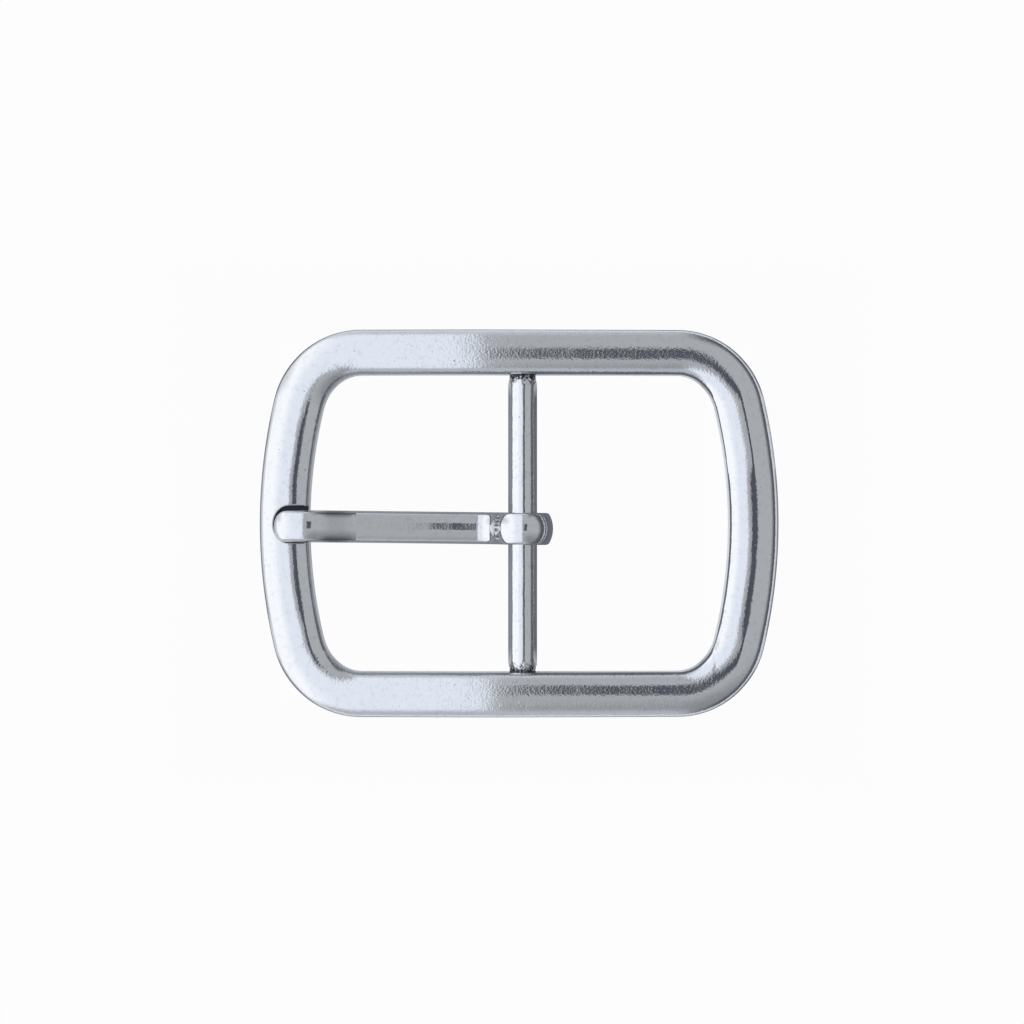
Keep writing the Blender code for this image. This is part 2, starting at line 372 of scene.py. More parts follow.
bpy.ops.object.select_all(action="DESELECT")
bpy.ops.mesh.primitive_circle_add(vertices=notch_points, radius=notch_half_width, fill_type="NGON")
cutter = bpy.context.object
cutter.name = "notch_cutter"
cutter.scale = (notch_end_depth / notch_half_width, 1.0, 1.0)
cutter.location = (notch_round_x, notch_middle_y, notch_floor)
settle(cutter)
pick(cutter, lambda place: place.x > notch_round_x + hair)
bpy.ops.transform.translate(value=(notch_open_x - notch_round_x, 0.0, 0.0))
put_down()
print("notch outline:", size_of(cutter), "mm")

# %% [markdown]
# The cutter's wall follows the domed rail: it is extruded ring by ring, and each ring is then
# lifted to the dome's own height, a little below it at first. The last rings flare outwards along
# a small quarter circle, which leaves a round lip where the cut meets the dome.

# %% Cut the notch
lip_radius = 0.00024
lip_steps = 5
over_dome = 3.0 * MM
ring_lift = 10.0 * MM


def rail_top(x, y):
    """Height of the notched end rail's top surface."""
    centre = Vector((outer_end_radius - frame_high.x, 0.0))
    across = outer_end_radius - (Vector((x, y)) - centre).length
    return arch(x, y) + wall_height + dome(clamp(across, 0.0, end_rail_width), end_rail_width)


def notch_normal(place):
    """Which way out of the notch its wall faces at this place."""
    side = place.y - notch_middle_y
    if place.x > notch_round_x:
        return Vector((0.0, math.copysign(1.0, side), 0.0))
    end = (place.x - notch_round_x) / notch_end_depth**2
    return Vector((end, side / notch_half_width**2, 0.0)).normalized()


rings = [(0.0, -lip_radius)]
for step in range(1, lip_steps + 1):
    turn = math.pi / 2 * step / lip_steps
    rings.append((lip_radius * (1.0 - math.cos(turn)), -lip_radius * (1.0 - math.sin(turn))))
rings.append((lip_radius, over_dome))
pick(cutter, lambda place: True)
for ring in range(len(rings)):
    bpy.ops.mesh.extrude_region_move(TRANSFORM_OT_translate={"value": (0.0, 0.0, ring_lift)})
put_down()
for corner in cutter.data.vertices:
    ring = round((corner.co.z - notch_floor) / ring_lift) - 1
    if ring >= 0:
        out, above = rings[ring]
        foot = Vector((corner.co.x, corner.co.y, 0.0))
        place = foot + notch_normal(foot) * out
        height = max(rail_top(place.x, place.y) + above, notch_floor + (ring + 1) * hair)
        corner.co = (place.x, place.y, height)
close_up(cutter, crease_degrees=40.0)
cut_away(buckle_frame, cutter)
print("notch cut:", len(buckle_frame.data.polygons), "faces")

# %% [markdown]
# ## The bar's sockets
# The bar is let into a blind hole in each long rail. The holes are cut with one rod through the
# window, a little wider than the bar's neck.

# %% Cut the two sockets
bar_x = (bar_low.x + bar_high.x) / 2
bar_z = (bar_low.z + bar_high.z) / 2
bar_radius = (bar_high.x - bar_low.x) / 2
neck_radius = 0.00155
socket_clearance = 0.0001
socket_depth = 0.0025
bar_sides = 96

bpy.ops.object.select_all(action="DESELECT")
bpy.ops.mesh.primitive_cylinder_add(
    vertices=bar_sides,
    radius=neck_radius + socket_clearance,
    depth=2.0 * (window_half_width + socket_depth),
    location=(bar_x, 0.0, bar_z),
    rotation=(math.pi / 2, 0.0, 0.0),
)
cutter = bpy.context.object
settle(cutter)
cut_away(buckle_frame, cutter)
close_up(buckle_frame, crease_degrees=40.0)
print("frame finished:", size_of(buckle_frame), "mm,", len(buckle_frame.data.polygons), "faces")

# %% [markdown]
# The wheel polishes some parts of the casting more than others: the end rails stand proud and lose
# their skin. The notch's floor is marked as well, for painted shade where the prong's shadow falls.
# A painted value on each corner of the mesh carries both to the finish. Such an attribute is exact
# where a picture would need unwrapping.

# %% Mark what the wheel reached, and the notch's painted shade
polish_start_x = 0.022
polish_blend = 0.006
polished_away = 0.65

notch_floor_shade = buckle_frame.data.attributes.new("notch_floor_shade", "FLOAT", "POINT")
casting_skin = buckle_frame.data.attributes.new("casting_skin", "FLOAT", "POINT")
for corner in buckle_frame.data.vertices:
    polish = ease((abs(corner.co.x) - polish_start_x) / polish_blend)
    casting_skin.data[corner.index].value = 1.0 - polished_away * polish
    beside = abs(corner.co.y - notch_middle_y)
    in_notch = corner.co.x < notch_open_x and beside < notch_half_width + hair
    # The notch's floor is marked for painted shade: the prong's shadow falls there.
    if in_notch and abs(corner.co.z - notch_floor) < 2.0 * hair:
        notch_floor_shade.data[corner.index].value = 1.0
print("corners on the notch's floor:", sum(entry.value > 0.5 for entry in notch_floor_shade.data))

# %% [markdown]
# ## The bar
# The bar is a drawn rod. It narrows a little just before the rails, where the plating bath left a
# rough skin. A cylinder is sliced across near its ends with bisect, so that the mesh has enough
# corners there to carry the neck and that rough skin as real relief.

# %% Slice the rod
rough_start = 0.0158
rough_end = window_half_width + 0.4 * MM
slices = 34

bpy.ops.object.select_all(action="DESELECT")
bpy.ops.mesh.primitive_cylinder_add(
    vertices=bar_sides,
    radius=bar_radius,
    depth=bar_high.y - bar_low.y,
    location=(bar_x, 0.0, bar_z),
    rotation=(math.pi / 2, 0.0, 0.0),
)
buckle_bar = bpy.context.object
buckle_bar.name = "buckle_bar"
settle(buckle_bar)
for step in range(slices + 1):
    cut = rough_start + (rough_end - rough_start) * step / slices
    for side in (-1.0, 1.0):
        pick(buckle_bar, lambda place: True)
        bpy.ops.mesh.bisect(plane_co=(0.0, side * cut, 0.0), plane_no=(0.0, 1.0, 0.0))
        put_down()
print("rod:", size_of(buckle_bar), "mm,", len(buckle_bar.data.polygons), "faces")

# %% [markdown]
# Each corner near the ends is then set to its own distance from the bar's axis: first the neck's
# smooth step, then an uneven skin on top. Sines of different lengths make that skin, so that it
# comes out the same each time. The skin never stands out past the bar's full thickness.

# %% Turn the necks and roughen them
neck_start = 0.0167
neck_end = 0.0177
skin_start = rough_start + 0.6 * MM
skin_blend = 0.8 * MM
skin_end = window_half_width + 0.1 * MM
skin_height = 0.07 * MM
skin_spacing = 0.6 * MM


def ripple(place, spacing):
    """A smooth uneven value from -1 to 1 that changes over about this spacing."""
    x, y, z = (place[k] / spacing * 2.0 * math.pi for k in range(3))
    first = math.sin(x + 1.7 * math.sin(0.8 * y)) * math.cos(0.9 * z + 0.4)
    second = math.sin(1.3 * y + 2.1 * math.sin(0.7 * z)) * math.cos(1.1 * x)
    return 0.5 * (first + second)


for corner in buckle_bar.data.vertices:
    along = abs(corner.co.y)
    neck_share = ease((along - neck_start) / (neck_end - neck_start))
    radius = bar_radius + (neck_radius - bar_radius) * neck_share
    if along < skin_end:
        rough = clamp((along - skin_start) / skin_blend)
        radius += rough * skin_height * ripple(corner.co, skin_spacing)
    spoke = Vector((corner.co.x - bar_x, 0.0, corner.co.z - bar_z))
    spoke = spoke.normalized() * min(radius, bar_radius)
    corner.co = (bar_x + spoke.x, corner.co.y, bar_z + spoke.z)
close_up(buckle_bar, crease_degrees=40.0)
print("bar finished:", size_of(buckle_bar), "mm,", len(buckle_bar.data.polygons), "faces")

# %% [markdown]
# ## The prong
# The prong is a strip of drawn wire, crowned above and flat below. The maker rounds its tip, then
# bends it: a low crest over the notch, an S down into the window, a long straight shank, and an
# eye round the bar, pinched shut with a toothed tool that leaves five small dents. The same order
# works here. The strip is made straight along X, and its corners are then carried on to the bent
# line. That line is worked out first, seen from the side, with the bar's axis at its origin.

# %% Sizes of the bent line
strip_width = 0.00388
strip_thickness = 0.00175
nose_x = -0.0296 - bar_x
crest_x = -0.0259 - bar_x
tip_radius = 0.0065

eye_clearance = 0.0002
tail_thickness = 0.0013
thinning_start = 0.50
thinning_length = 0.35
neck_angle = math.radians(160.0)
tail_angle = math.radians(-143.0)

shank_slope = math.tan(math.radians(3.0))
fillet_radius = 0.0030
eye_middle_radius = bar_radius + eye_clearance + strip_thickness / 2
neck = Vector((math.cos(neck_angle), math.sin(neck_angle)))
fillet_centre = neck * (eye_middle_radius + fillet_radius)
fall = math.atan(shank_slope)
root = fillet_centre - fillet_radius * Vector((math.sin(fall), math.cos(fall)))
print("the shank meets the eye's fillet", round(-root.x / MM, 2), "mm from the bar's axis")

# %% [markdown]
# The S is a round start, a straight steep slope and a short, less steep end: the press tool's lower
# edge was blunter than its upper one. The shank beyond it sags by a few hundredths of a
# millimetre, too little to see but enough to bend the long streak of light along it.

# %% The S-bend and the shank
bend_start_x = -0.0258 - bar_x
bend_steep_x = -0.0237 - bar_x
bend_ease_x = -0.0207 - bar_x
bend_end_x = -0.0199 - bar_x
bend_slope = 0.47
bend_end_slope = 0.20
sag = 0.00006
sag_left_x = -0.0200
sag_middle_x = -0.0120
sag_right_x = -0.0052

start_length = bend_steep_x - bend_start_x
steep_length = bend_ease_x - bend_steep_x
end_length = bend_end_x - bend_ease_x


def bend_fall(x):
    """How far the strip has come down since the start of the S-bend."""
    start = clamp(x - bend_start_x, 0.0, start_length)
    steep = clamp(x - bend_steep_x, 0.0, steep_length)
    end = clamp(x - bend_ease_x, 0.0, end_length)
    fallen = bend_slope * start**2 / (2.0 * start_length) + bend_slope * steep
    return fallen + bend_slope * end - (bend_slope - bend_end_slope) * end**2 / (2.0 * end_length)


def shank_height(x):
    """Height of the strip's middle over the bar's axis, from the tip to the fillet."""
    height = root.y + shank_slope * (root.x - x)
    height += bend_fall(bend_end_x) - bend_fall(x)
    height += sag * ease((sag_right_x - x) / (sag_right_x - sag_middle_x))
    height -= sag * ease((sag_middle_x - x) / (sag_middle_x - sag_left_x))
    past_crest = max(crest_x - x, 0.0)
    return height - (tip_radius - math.sqrt(tip_radius**2 - past_crest**2))


print("the strip steps down by", round(bend_fall(bend_end_x) / MM, 2), "mm")

# %% [markdown]
# The line is walked from the tip to the tail at close steps: the shank, then the small fillet that
# turns it upwards, then the eye round the bar, where the strip thins towards its tail. The length
# walked so far is kept for each step, so that the straight strip can be laid along the line.

# %% The bent line that the strip follows
shank_points = 900
fillet_points = 80
eye_points = 400


def bent_line():
    """(place, thickness) at close steps from the tip to the tail, in the plane across the bar."""
    line = []
    for step in range(shank_points):
        x = nose_x + (root.x - nose_x) * step / shank_points
        line.append((Vector((x, shank_height(x))), strip_thickness))
    start = -math.pi / 2 - fall
    for step in range(fillet_points):
        angle = start + (neck_angle - math.pi - start) * step / fillet_points
        spoke = Vector((math.cos(angle), math.sin(angle)))
        line.append((fillet_centre + fillet_radius * spoke, strip_thickness))
    for step in range(eye_points + 1):
        share = step / eye_points
        angle = neck_angle + (tail_angle - neck_angle) * share
        thinned = ease((share - thinning_start) / thinning_length)
        thickness = strip_thickness + (tail_thickness - strip_thickness) * thinned
        radius = bar_radius + eye_clearance + thickness / 2
        line.append((radius * Vector((math.cos(angle), math.sin(angle))), thickness))
    return line


line = bent_line()
travelled = [0.0]
for (before, _), (after, _) in zip(line, line[1:]):
    travelled.append(travelled[-1] + (after - before).length)
strip_length = travelled[-1]
neck_at = travelled[shank_points + fillet_points]
print("strip length:", round(strip_length / MM, 2), "mm; the eye starts at", round(neck_at / MM, 2), "mm")

# %% [markdown]
# The strip itself is a circle of many points, extruded along X in short steps and closed at both
# ends. Starting from a circle gives the crowned section its points evenly all round, so the round
# shoulders get as many as they need.

# %% The straight strip
section_points = 128
along_step = 0.00012
steps = math.ceil(strip_length / along_step)
onwards = (strip_length / steps, 0.0, 0.0)

bpy.ops.object.select_all(action="DESELECT")
bpy.ops.mesh.primitive_circle_add(
    vertices=section_points,
    radius=strip_width / 2,
    rotation=(0.0, math.pi / 2, 0.0),
)
buckle_prong = bpy.context.object
buckle_prong.name = "buckle_prong"
settle(buckle_prong)
pick(buckle_prong, lambda place: True)
for step in range(steps):
    bpy.ops.mesh.extrude_region_move(TRANSFORM_OT_translate={"value": onwards})
bpy.ops.mesh.edge_face_add()
put_down()
pick(buckle_prong, lambda place: place.x < along_step / 2)
bpy.ops.mesh.edge_face_add()
put_down()
print("straight strip:", size_of(buckle_prong), "mm,", len(buckle_prong.data.polygons), "faces")

# %% [markdown]
# Pressing the strip means giving each point its place on the crowned outline: a wide arc above,
# small round shoulders, straight sides and a flat back. The place is found by halving: from the
# strip's middle outwards, is this far still inside the outline or not?

# %% The crowned section
crown_radius = 0.0036
shank_shoulder_radius = 0.00042
eye_shoulder_radius = 0.00024
halvings = 28


def crowned(angle, shoulder):
    """The outline point seen under this angle from the strip's middle, as (across, up)."""
    half_width = strip_width / 2
    half_thick = strip_thickness / 2
    aim = Vector((math.cos(angle), math.sin(angle)))
    low, high = 0.0, half_width * 1.3
    for _ in range(halvings):
        reach = (low + high) / 2
        across, up = abs(aim.x * reach), aim.y * reach
        roof = half_thick - crown_radius + math.sqrt(max(crown_radius**2 - across**2, 0.0))
        side_gap = half_width - across
        roof_gap = (roof - up) * math.cos(math.asin(min(across / crown_radius, 1.0)))
        edge = min(roof_gap, up + half_thick)
        if side_gap < shoulder and edge < shoulder:
            gap = shoulder - math.hypot(shoulder - side_gap, shoulder - edge)
        else:
            gap = min(side_gap, edge)
        low, high = (reach, high) if gap > 0.0 else (low, reach)
    return aim * low


top = crowned(math.pi / 2, shank_shoulder_radius).y
print("the crown's top is", round(top / MM, 2), "mm over the strip's middle")

# %% [markdown]
# The pinching tool has pressed five dents across the strip just in front of the eye. They are
# spaced unevenly, as a worn tool's teeth are. The S-bend's steep slope faces the dark side of the
# studio: it and the dents are painted darker as shade, most of all towards the bend's two edges, and
# are made rougher too.

# %% Dents and dull places
dent_places = (0.00130, 0.00091, 0.00046, -0.00019, -0.00106)
dent_width = 0.00044
dent_length = 0.00100
dent_depth = 0.00017
dent_x = -0.0025
dent_at = next(walked for walked, (place, _) in zip(travelled, line) if place.x > dent_x)
# How strongly the dents are painted dark as shade, and made rougher.
dent_shade_and_dulling = 1.3

dull_start_x = bend_steep_x - 1.0 * MM
dull_start_blend = 1.8 * MM
dull_end_x = bend_end_x + 0.2 * MM
dull_end_blend = 2.6 * MM
dull_middle = 0.30
dull_edge_start = 0.8 * MM
dull_edge_blend = 1.0 * MM


def dented(across, along):
    """How deep each dent is here, from 1 in its middle to 0 at its edge."""
    depths = []
    for dent_y in dent_places:
        sideways = (across - dent_y) / (dent_width / 2)
        far = math.hypot(sideways, (along - dent_at) / (dent_length / 2))
        depths.append(max(1.0 - far**2, 0.0))
    return depths


def bend_shade_and_dullness(across, x):
    """Painted shade and dullness on the S-bend: fades in down the steep slope, out at the shank."""
    edge_share = dull_middle + (1.0 - dull_middle) * ease((abs(across) - dull_edge_start) / dull_edge_blend)
    down_slope = ease((x - dull_start_x) / dull_start_blend)
    return edge_share * down_slope * ease((dull_end_x - x) / dull_end_blend)


print("the dents lie", round(dent_at / MM, 2), "mm from the tip")

# %% [markdown]
# Now each corner of the straight strip gets its final place. How far along the strip it lies says
# where on the bent line it goes, and its angle round the strip says where on the section. The eye
# has tighter shoulders than the shank, because the strip is stretched where it goes round the bar.
# At the tip the section is drawn in to a round nose.

# %% Press, dent and bend the strip
nose_taper = 0.0016
nose_end_scale = 0.02
eye_lead = 0.4 * MM
eye_blend = 2.2 * MM


def station(along):
    """Place, heading and thickness on the bent line at this length from the tip."""
    along = clamp(along, 0.0, strip_length)
    low, high = 0, len(travelled) - 1
    while high - low > 1:
        half = (low + high) // 2
        low, high = (half, high) if travelled[half] <= along else (low, half)
    (before, thick_before), (after, thick_after) = line[low], line[high]
    share = (along - travelled[low]) / (travelled[high] - travelled[low])
    heading = (after - before).normalized()
    return before.lerp(after, share), heading, thick_before + (thick_after - thick_before) * share


outlines = {}
dull = buckle_prong.data.attributes.new("dull", "FLOAT", "POINT")
for corner in buckle_prong.data.vertices:
    along = corner.co.x
    angle = math.atan2(corner.co.z, corner.co.y)
    eye_share = ease((along - neck_at + eye_lead) / eye_blend)
    shoulder = shank_shoulder_radius + (eye_shoulder_radius - shank_shoulder_radius) * eye_share
    key = (round(angle, 4), round(shoulder, 7))
    if key not in outlines:
        outlines[key] = crowned(angle, shoulder)
    across, up = outlines[key]
    place, heading, thickness = station(along)
    # The S-bend and the dents get painted shade, a darker colour, and more roughness.
    shade_and_dullness = bend_shade_and_dullness(across, place.x)
    if up > 0.0:
        dents = dented(across, along)
        up -= dent_depth * sum(dents)
        shade_and_dullness = max(shade_and_dullness, dent_shade_and_dulling * max(dents))
    dull.data[corner.index].value = min(shade_and_dullness, 1.0)
    scale = max(math.sqrt(1.0 - (1.0 - clamp(along / nose_taper)) ** 2), nose_end_scale)
    up *= scale * thickness / strip_thickness
    spot = place + Vector((-heading.y, heading.x)) * up
    corner.co = (spot.x, across * scale, spot.y)
print("bent strip:", size_of(buckle_prong), "mm")

# %% [markdown]
# The strip was bent round an axis at the origin. It is carried to the bar, where it sits a little
# off the middle and a little askew, as a loose prong does.

# %% Put the prong on the bar
prong_y = -0.00064
prong_skew = math.radians(-0.65)

on_bar = Matrix.Translation((bar_x, prong_y, bar_z)) @ Matrix.Rotation(prong_skew, 4, "Z")
buckle_prong.data.transform(on_bar)
close_up(buckle_prong, crease_degrees=50.0)
print("prong finished:", size_of(buckle_prong), "mm,", len(buckle_prong.data.polygons), "faces")

# %% [markdown]
# ## Finishes
# Everything is plated bright, like chrome over nickel. Plated metal is a metal surface: fully
# metallic, nearly mirror smooth, a little blue-grey. What makes it real is what breaks the mirror.
# A finish is a small web of nodes, so one helper adds a node, and another reads colours. A Mix
# node keeps a pair of inputs for each kind of value, and only the pair in use is enabled.


# %% Colour and node helpers
def colour(hex_code):
    """A screen colour such as #C8CCD2 as linear light."""
    channels = [int(hex_code[k : k + 2], 16) / 255.0 for k in (1, 3, 5)]
    linear = [c / 12.92 if c <= 0.04045 else ((c + 0.055) / 1.055) ** 2.4 for c in channels]
    return (*linear, 1.0)


def add(tree, kind, links=None, **settings):
    """Adds a node. Settings name its properties or inputs, and links name what feeds its inputs."""
    node = tree.nodes.new(kind)
    for name, value in settings.items():
        if hasattr(node, name):
            setattr(node, name, value)
        else:
            node.inputs[name.replace("_", " ")].default_value = value
    for name, source in (links or {}).items():
        tree.links.new(source, node.inputs[name])
    return node


def ends_of(mix):
    """The two inputs that a Mix node blends, and its result."""
    before, after = [socket for socket in mix.inputs if socket.enabled and socket.name in ("A", "B")]
    result = [socket for socket in mix.outputs if socket.enabled][0]
    return before, after, result


def paint_layers(tree, base, layers):
    """Lays colours over a base colour, each where its own mask is 1, and returns the result."""
    paint = None
    for mask, hex_code in layers:
        mix = add(tree, "ShaderNodeMix", {"Factor": mask}, data_type="RGBA")
        before, after, result = ends_of(mix)
        if paint is None:
            before.default_value = colour(base)
        else:
            tree.links.new(paint, before)
        after.default_value = colour(hex_code)
        paint = result
    return paint


def new_material(name):
    material = bpy.data.materials.new(name)
    material.use_nodes = True
    return material, material.node_tree, material.node_tree.nodes["Principled BSDF"]


# %% [markdown]
# ### Bright plate
# Four things break the mirror. The casting's skin shows through the plate as orange peel, bumps
# about a quarter of a millimetre wide. Slow waves a few millimetres long come from polishing by
# hand. Pinholes are small, dull and grey. A faint haze and uneven wear keep the gloss from being
# the same all over. Each is a noise texture whose scale is worked out from its real size. Noise
# keeps mostly near 0.5, and a Map Range node picks out the part of it that leaves a mark.

# %% Bright plate
plate_base = "#D6D6D6"
haze_tone = "#C2C4C8"
pit_tone = "#8A8E96"
peel_mm = 0.28
pit_mm = 0.45
haze_mm = 0.7
wear_mm = 5.0
pit_depth_mm = 0.01
pit_roughness = 0.25
least_rough = 0.035
most_rough = 0.075


def plate_relief(tree, where, pitted, peel_slope, wave_mm, wave_slope):
    """Slow waves, orange peel over them and sunken pinholes over both, as one bent normal."""
    wave = add(tree, "ShaderNodeTexNoise", {"Vector": where}, Scale=1.0 / (wave_mm * MM), Detail=1.0)
    peel = add(tree, "ShaderNodeTexNoise", {"Vector": where},
               Scale=1.0 / (peel_mm * MM), Detail=2.5, Roughness=0.55)
    slow = add(tree, "ShaderNodeBump", {"Height": wave.outputs["Fac"]},
               Strength=1.0, Distance=wave_slope * wave_mm * MM)
    fine = add(tree, "ShaderNodeBump", {"Height": peel.outputs["Fac"], "Normal": slow.outputs["Normal"]},
               name="orange peel", Strength=1.0, Distance=peel_slope * peel_mm * MM)
    sunk = add(tree, "ShaderNodeBump", {"Height": pitted, "Normal": fine.outputs["Normal"]},
               Strength=1.0, Distance=pit_depth_mm * MM, invert=True)
    return sunk.outputs["Normal"]


def bright_plate(name, peel_slope, wave_mm, wave_slope):
    """Chrome over nickel: orange peel and slow waves bend the mirror, pits and wear dull it."""
    material, tree, shader = new_material(name)
    where = add(tree, "ShaderNodeTexCoord").outputs["Object"]
    pits = add(tree, "ShaderNodeTexNoise", {"Vector": where}, Scale=1.0 / (pit_mm * MM), Detail=1.0)
    pitted = add(tree, "ShaderNodeMapRange", {"Value": pits.outputs["Fac"]},
                 From_Min=0.76, From_Max=0.82).outputs["Result"]
    haze = add(tree, "ShaderNodeTexNoise", {"Vector": where},
               Scale=1.0 / (haze_mm * MM), Detail=5.0, Roughness=0.7)
    hazy = add(tree, "ShaderNodeMapRange", {"Value": haze.outputs["Fac"]},
               From_Min=0.52, From_Max=0.78).outputs["Result"]
    wear = add(tree, "ShaderNodeTexNoise", {"Vector": where}, Scale=1.0 / (wear_mm * MM), Detail=4.0)
    worn = add(tree, "ShaderNodeMapRange", {"Value": wear.outputs["Fac"]},
               From_Min=0.3, From_Max=0.7, To_Min=least_rough, To_Max=most_rough)
    in_pits = add(tree, "ShaderNodeMath", {0: pitted}, operation="MULTIPLY")
    in_pits.inputs[1].default_value = pit_roughness
    rough = add(tree, "ShaderNodeMath", {0: worn.outputs["Result"], 1: in_pits.outputs[0]}, operation="ADD")
    tone = paint_layers(tree, plate_base, [(hazy, haze_tone), (pitted, pit_tone)])
    relief = plate_relief(tree, where, pitted, peel_slope, wave_mm, wave_slope)
    shader.inputs["Metallic"].default_value = 1.0
    tree.links.new(tone, shader.inputs["Base Color"])
    tree.links.new(rough.outputs[0], shader.inputs["Roughness"])
    tree.links.new(relief, shader.inputs["Normal"])
    return material


frame_finish = bright_plate(
    "chrome_plate_on_polished_casting", peel_slope=0.075, wave_mm=5.0, wave_slope=0.012
)
bar_finish = bright_plate("chrome_plate_on_drawn_rod", peel_slope=0.03, wave_mm=2.5, wave_slope=0.02)
prong_finish = bright_plate("chrome_plate_on_drawn_strip", peel_slope=0.025, wave_mm=3.0, wave_slope=0.01)
print("finishes:", frame_finish.name, bar_finish.name, prong_finish.name)

# %% [markdown]
# ### Dark and dull places
# Where shade falls, the plate is painted dark and made dull: on the notch's floor, on the prong's
# S-bend and in its dents. The marks painted on the meshes say where. Another mark of the same kind
# makes the frame's orange peel weaker on its polished ends.


# %% Paint shade into the notch and on to the S-bend
def darken(material, mask, dark_hex, dark_roughness):
    """Where the mask is 1, the plate is painted dark and made dull: painted shade, and crust."""
    tree = material.node_tree
    shader = tree.nodes["Principled BSDF"]
    for name, kind, dark in (
        ("Base Color", "RGBA", colour(dark_hex)),
        ("Roughness", "FLOAT", dark_roughness),
    ):
        socket = shader.inputs[name]
        bright = socket.links[0].from_socket
        before, after, result = ends_of(add(tree, "ShaderNodeMix", {"Factor": mask}, data_type=kind))
        tree.links.new(bright, before)
        after.default_value = dark
        tree.links.new(result, socket)


tree = frame_finish.node_tree
# Painted shade: the notch's floor is painted dark where the prong's shadow falls, and made rough.
in_notch = add(tree, "ShaderNodeAttribute", attribute_name="notch_floor_shade")
darken(frame_finish, in_notch.outputs["Fac"], dark_hex="#34363C", dark_roughness=0.35)
skin = add(tree, "ShaderNodeAttribute", attribute_name="casting_skin")
tree.links.new(skin.outputs["Fac"], tree.nodes["orange peel"].inputs["Strength"])

tree = prong_finish.node_tree
# Painted shade: the S-bend's slope and the dents are painted darker, and made rougher.
shaded_and_dull = add(tree, "ShaderNodeAttribute", attribute_name="dull")
darken(prong_finish, shaded_and_dull.outputs["Fac"], dark_hex="#96979A", dark_roughness=0.22)
print("darkened:", frame_finish.name, prong_finish.name)

# %% [markdown]
# The bar's ends are painted dark: partly a patchy crust from the plating bath, and partly painted
# shade where the bar meets the rail. A noise with 0.3 mm patches is added to the nearness to the
# rail, and only where the sum is high enough does the dark show. So it starts as single specks and
# closes up towards the rail.

# %% Crust and painted shade on the bar's ends
crust_start = 0.0156
crust_full = 0.0186
crust_mm = 0.30

tree = bar_finish.node_tree
where = add(tree, "ShaderNodeTexCoord").outputs["Object"]
along_bar = add(tree, "ShaderNodeSeparateXYZ", {"Vector": where}).outputs["Y"]
from_middle = add(tree, "ShaderNodeMath", {0: along_bar}, operation="ABSOLUTE").outputs[0]
near_rail = add(tree, "ShaderNodeMapRange", {"Value": from_middle},
                From_Min=crust_start, From_Max=crust_full).outputs["Result"]
patches = add(tree, "ShaderNodeTexNoise", {"Vector": where}, Scale=1.0 / (crust_mm * MM), Detail=2.0)
both = add(tree, "ShaderNodeMath", {0: near_rail, 1: patches.outputs["Fac"]}, operation="ADD").outputs[0]
# Crust specks, closing up into painted shade where the bar meets the rail.
crust_and_shade = add(tree, "ShaderNodeMapRange", {"Value": both}, From_Min=1.03, From_Max=1.22).outputs["Result"]
darken(bar_finish, crust_and_shade, dark_hex="#3A3C41", dark_roughness=0.3)
print("crust:", round((bar_high.y - crust_start) / MM, 1), "mm at each end of the bar")

# %% [markdown]
# ### Pieces and bodies
# Each piece gets its finish. It rides on the body that it moves with, and stands for one node of
# the imported model. The bar is fixed in the frame, so both ride on one body, and only the prong
# swings.

# %% Give each piece its finish and body
for piece, finish, body, node, slot in (
    (buckle_frame, frame_finish, "frame", "frame", "plated_casting"),
    (buckle_bar, bar_finish, "frame", "centre_bar", "plated_rod"),
    (buckle_prong, prong_finish, "prong", "prong", "plated_strip"),
):
    piece.data.name = piece.name
    piece.data.materials.clear()
    piece.data.materials.append(finish)
    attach(piece, body)
    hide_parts(node)
    print(piece.name, "rides on", body)

# %% [markdown]
# ## Floor
# The buckle lies on a light table, a white board lit from below, so it throws almost no shadow.
# The board's glow is only for the camera. The metal reflects a board in painted greys, painted
# shade and light for how the buckle and the things round it shade it: mid grey under the window and
# painted darker to the right, painted light in a strip beside the inner walls, a painted shadow
# under the rim, and light again further out.

# %% The board's greys: painted shade and light
table_half = 3.0
left_tone = "#A6A8AD"
right_painted_shade = "#66686E"
wall_painted_light = "#D2D4D8"
rim_painted_shadow = "#66686E"
outer_tone = "#E2E4E8"

bpy.ops.object.select_all(action="DESELECT")
bpy.ops.mesh.primitive_plane_add(size=2.0 * table_half, location=(0.0, 0.0, -0.1 * MM))
floor = bpy.context.object
floor.name = "light_table"
floor_finish, tree, shader = new_material("opal_acrylic_sheet")
where = add(tree, "ShaderNodeTexCoord").outputs["Object"]
axes = add(tree, "ShaderNodeSeparateXYZ", {"Vector": where})
to_right = add(tree, "ShaderNodeMapRange", {"Value": axes.outputs["X"]}, From_Min=-0.020, From_Max=0.014)

folded = add(tree, "ShaderNodeVectorMath", {0: where}, operation="ABSOLUTE").outputs["Vector"]
by_outline = add(tree, "ShaderNodeVectorMath", {0: folded}, operation="MULTIPLY")
by_outline.inputs[1].default_value = (1.0 / frame_high.x, 1.0 / frame_high.y, 0.0)
sides = add(tree, "ShaderNodeSeparateXYZ", {"Vector": by_outline.outputs["Vector"]})
outermost = add(tree, "ShaderNodeMath", {0: sides.outputs["X"], 1: sides.outputs["Y"]}, operation="MAXIMUM")
# Painted shade: the board is darker to the right of the window.
layers = [(to_right.outputs["Result"], right_painted_shade)]
